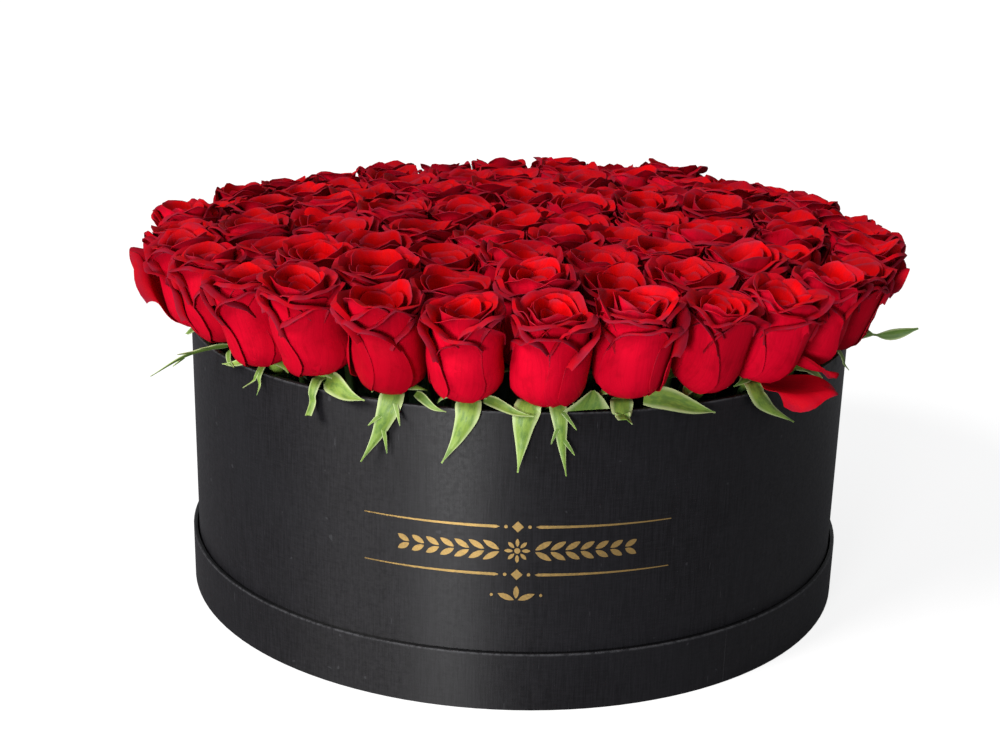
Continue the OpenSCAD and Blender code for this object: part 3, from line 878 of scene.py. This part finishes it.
def make_stems_and_calyxes(places, stem_material, sepal_material):
    """One piece of stems and one of calyxes per ring. The outermost roses' first arm points
    outwards, and is made with the hanging sepals instead."""
    for ring, name in enumerate(RING_NAMES):
        stems, calyxes = Gathered(), Gathered()
        for index, (of_ring, foot, axis) in enumerate(places):
            if of_ring != ring:
                continue
            rng = np.random.default_rng(STEM_SEED + index)
            matrix = rose_matrix(foot, axis)
            outermost = ring == RINGS
            arms = [math.radians(72 * i) for i in range(1 if outermost else 0, 5)]
            add_stem(stems, matrix, rng)
            add_calyx(calyxes, matrix, arms, 12 if outermost else 19, rng)
        build_green(stems, f"stems_of_{name}", stem_material, "rose_stem", f"rose_stems_{name}")
        build_green(calyxes, f"calyxes_of_{name}", sepal_material, "rose_sepal", f"rose_calyxes_{name}")


# Sepals of the front roses that hang or lie over the rim, by their rose's azimuth in degrees.
# Each is (kind, start across, drift, hang, width) in millimetres; drift is to the right. A
# broad, lobed or thin sepal hangs, a stub is cut short, a lying one crosses the rim flat, a
# twig and a spray of two leaves reach out past it, and a standing one rises from it.
FRONT_SEPALS = {
    -170: [("lying", 0, -6, 0, 5)],
    -158: [("lying", 2, -8, 1, 6)],
    -146: [("twig", -2, -9, 10, 5.5), ("lying", 4, 22, 0, 5)],
    -134: [("thin", 3, 3, 10, 3.2), ("thin", 1, -5, 8, 3.0), ("lying", -4, -24, 1, 5)],
    -122: [("stub", 2, 1, 12, 6.0), ("lying", 5, 30, -1, 11)],
    -110: [("lobed", 2, -14, 31, 13.0), ("lying", 12, 20, 0, 4.5)],
    -98: [("broad", 3, -12, 26, 13.0), ("lying", 9, 26, 0, 5.5)],
    -86: [("lobed", 5, 4, 31, 8.5), ("broad", -12, -3, 28, 13.5)],
    -74: [("stub", -5, 0, 1.5, 11.0), ("standing", -22, 4, 10, 12.0)],
    -62: [("lying", -33, 34, 4, 12)],
    -50: [("broad", -8, 26, 19, 11.5)],
    -38: [("lying", -6, 10, 2, 6)],
    -26: [("thin", 2, 4, 9, 5)],
    -14: [("spray", 0, 3, -9, 9.5), ("lying", 0, 16, 1, 7)],
    -2: [("lying", 2, -14, 2, 9)],
}
TILTS = {"twig": 0.9, "spray": 1.15}      # how far a blade's face is turned to the side, in radians


def random_sepals(rng):
    """One or two sepals for a rose at the side or back, in the same form as FRONT_SEPALS."""
    kind = rng.choice(["broad", "lobed", "lobed", "thin", "stub"])
    hang = {"broad": 28, "lobed": 31, "thin": 16, "stub": 9}[kind] * rng.uniform(0.75, 1.2)
    width = {"broad": 11.5, "lobed": 10, "thin": 3, "stub": 7}[kind] * rng.uniform(0.85, 1.15)
    sepals = [(kind, rng.uniform(-5, 5), rng.uniform(-14, 14), hang, width)]
    if rng.uniform() < 0.3:
        sepals.append(("lying", rng.uniform(-8, 8), rng.uniform(-24, 24), 2, 5.5))
    return sepals


def hanging_knots(kind, foot_r, start, drift, hang, width, rng):
    """A sepal's course as (distance from the middle, distance to the right, height)."""
    wall, rim = BOX_R / MM, RIM_Z / MM
    if kind == "lying":
        return [(foot_r + 3, start, rim + 4.2), (wall - 1, start + 0.25 * drift, rim + 4.2),
                (wall + 3.5, start + 0.65 * drift, rim + 1.0 - 0.4 * hang),
                (wall + 5.5, start + drift, rim - hang)]
    if kind == "twig":
        return [(foot_r + 3, start, rim + 3.6), (wall + 3, start + 0.1 * drift, rim + 3.2),
                (wall + 18, start + 0.5 * drift, rim + 2.5 - 0.3 * hang),
                (wall + 36, start + drift, rim - hang)]
    if kind == "spray":
        return [(wall - 5, start, rim + 5.0), (wall + 6, start + 0.2 * drift, rim + 4.4),
                (wall + 21, start + 0.6 * drift, rim + 3.6), (wall + 39, start + drift, rim - hang)]
    if kind == "standing":
        return [(wall - 0.5, start, rim + 1.0), (wall - 1.5, start + 0.5 * drift, rim + 0.55 * hang),
                (wall - 3.5, start + drift, rim + hang)]
    curl = rng.uniform(1, 6)
    off = 2.3 + 0.10 * width              # a wide sepal bends less closely over the rim
    return [(foot_r + 3, start * 0.4, rim + 4.2), (wall - 1.0, start * 0.8, rim + 3.6),
            (wall + off, start + 0.08 * drift, rim - 0.10 * hang - 0.5),
            (wall + off + 0.5, start + 0.45 * drift, rim - 0.55 * hang),
            (wall + off + curl, start + drift, rim - hang)]


def hanging_widths(kind, rows, width):
    """Half widths of a sepal, leaf or cut end along its course."""
    if kind == "standing":
        return width * np.linspace(1, 0.04, rows) ** 0.8
    if kind == "spray":
        s = np.linspace(0, 1, rows)
        return width / 2 * np.maximum(np.abs(np.sin(2 * math.pi * s ** 1.15)) * (1.1 - 0.55 * s), 0.10)
    if kind == "stub":
        return np.maximum(blade_widths(rows, width, base=0.75), 0.36 * width)
    return blade_widths(rows, width, base=0.55)


def add_lobes(gathered, path, ahead, across, widths, kind, tint, rng):
    """Three thin lobes that leave the edges of a sepal or twig and point forwards."""
    for at, way in ((0.42, rng.choice((-1, 1))), (0.60, -1), (0.70, 1)):
        row = int(at * (len(path) - 1))
        lobe_l = rng.uniform(7, 12) if kind == "lobed" else rng.uniform(5, 9)
        tip_way = ahead[row] * 0.85 + way * across[row] * 0.52
        s = np.linspace(0, 1, 5)[:, None]
        root = path[row] + way * across[row] * widths[row] * 0.5
        lobe = root + s * lobe_l * tip_way + s ** 2 * ahead[row]
        add_blade(gathered, lobe, np.tile(across[row], (5, 1)), np.array([1.2, 1.1, 0.8, 0.5, 0.12]),
                  0.2, tint, cols=3)


def add_hanging(gathered, azimuth, foot_r, kind, start, drift, hang, width, rng):
    """One sepal that leaves its hip, crosses the rim and hangs or lies outside the box."""
    local = smooth_path(hanging_knots(kind, foot_r, start, drift, hang, width, rng), 7)
    out = np.array([math.cos(azimuth), math.sin(azimuth), 0])
    side = np.array([-math.sin(azimuth), math.cos(azimuth), 0])
    up = np.array([0, 0, 1.0])
    curve_back = local[:, 0] - local[:, 1] ** 2 / (2 * BOX_R / MM)      # follows the round wall
    path = curve_back[:, None] * out + local[:, 1:2] * side + local[:, 2:] * up
    rows = len(path)
    ahead = np.gradient(path, axis=0)
    ahead /= np.linalg.norm(ahead, axis=1, keepdims=True)
    if kind in ("lying", "twig", "spray"):
        flat_way = np.cross(ahead, out + 0.6 * up)
    elif kind == "standing":
        flat_way = np.tile(side, (rows, 1))
    else:
        flat_way = side - (ahead @ side)[:, None] * ahead
    flat_way /= np.linalg.norm(flat_way, axis=1, keepdims=True)
    twist = rng.uniform(-0.5, 0.5) * np.linspace(0, 1, rows) ** 2 + TILTS.get(kind, 0.0)
    across = np.cos(twist)[:, None] * flat_way + np.sin(twist)[:, None] * np.cross(ahead, flat_way)
    widths = hanging_widths(kind, rows, width)
    tint = rng.uniform(0.0, 0.35) if kind in ("standing", "twig", "spray") else rng.uniform(0.35, 0.9)
    fold = np.linspace(0.04, 0.38, rows)[:, None, None]
    add_blade(gathered, path, across, widths, fold, tint, cols=7)
    if kind in ("lobed", "twig"):
        add_lobes(gathered, path, ahead, across, widths, kind, tint, rng)


def make_hanging_sepals(places, material):
    """One piece per outermost rose: the chosen sepals at the front, and random ones elsewhere."""
    outermost = [(foot, math.atan2(foot.y, foot.x)) for ring, foot, _ in places if ring == RINGS]
    for index, (foot, azimuth) in enumerate(outermost):
        rng = np.random.default_rng(SEPAL_SEED + index)
        near = min(FRONT_SEPALS, key=lambda at: abs(math.remainder(math.radians(at) - azimuth, 2 * math.pi)))
        gap = abs(math.remainder(math.radians(near) - azimuth, 2 * math.pi))
        sepals = FRONT_SEPALS[near] if gap < math.radians(5) else random_sepals(rng)
        gathered = Gathered()
        foot_r = math.hypot(foot.x, foot.y) / MM
        for kind, start, drift, hang, width in sepals:
            add_hanging(gathered, azimuth, foot_r, kind, start, drift, hang, width, rng)
        build_green(gathered, f"hanging_sepals_{index + 1:02d}", material, "rose_sepal", "hanging_sepals")


# ---------------------------------------------------------------- assembly

def paint(node, material):
    """Gives a node of the frame its material, keeping its shape."""
    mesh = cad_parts[node].data
    mesh.materials.clear()
    mesh.materials.append(material)


def paint_frame():
    """Gives every node that keeps its own shape its material."""
    wall = black_paper("wall_paper", RIM_Z, BOX_R, -2.7)
    lid = black_paper("lid_paper", LID_TOP, LID_R, 0.6, 0.9)
    lining = black_paper("lining_paper", 1.0, 1.0, 2.5, 0.7)
    card, foil, plastic, foam = grey_card(), gold_foil(), liner_plastic(), floral_foam()
    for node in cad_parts:
        if node.startswith("foil"):
            paint(node, foil)
        elif node.startswith("foam"):
            paint(node, foam)
        elif node == "liner_tray":
            paint(node, plastic)
        elif node.endswith("lining"):
            paint(node, lining)
        elif node.startswith("lid") and node.endswith("paper"):
            paint(node, lid)
        elif node.startswith("box") and node.endswith("paper"):
            paint(node, wall)
        elif node.startswith(("lid", "box")):
            paint(node, card)


make_camera()
make_lights()
bpy.context.scene.view_settings.view_transform = "Standard"
make_floor()
paint_frame()
rose_spots = make_roses(rose_petal())
stem_green = rose_green("rose_stem", rgb(0.05, 0.12, 0.03), rgb(0.10, 0.20, 0.05), rgb(0.12, 0.22, 0.07))
sepal_green = rose_green("rose_sepal", rgb(0.05, 0.13, 0.022), rgb(0.27, 0.40, 0.055), rgb(0.46, 0.55, 0.26))
make_stems_and_calyxes(rose_spots, stem_green, sepal_green)
make_hanging_sepals(rose_spots, sepal_green)
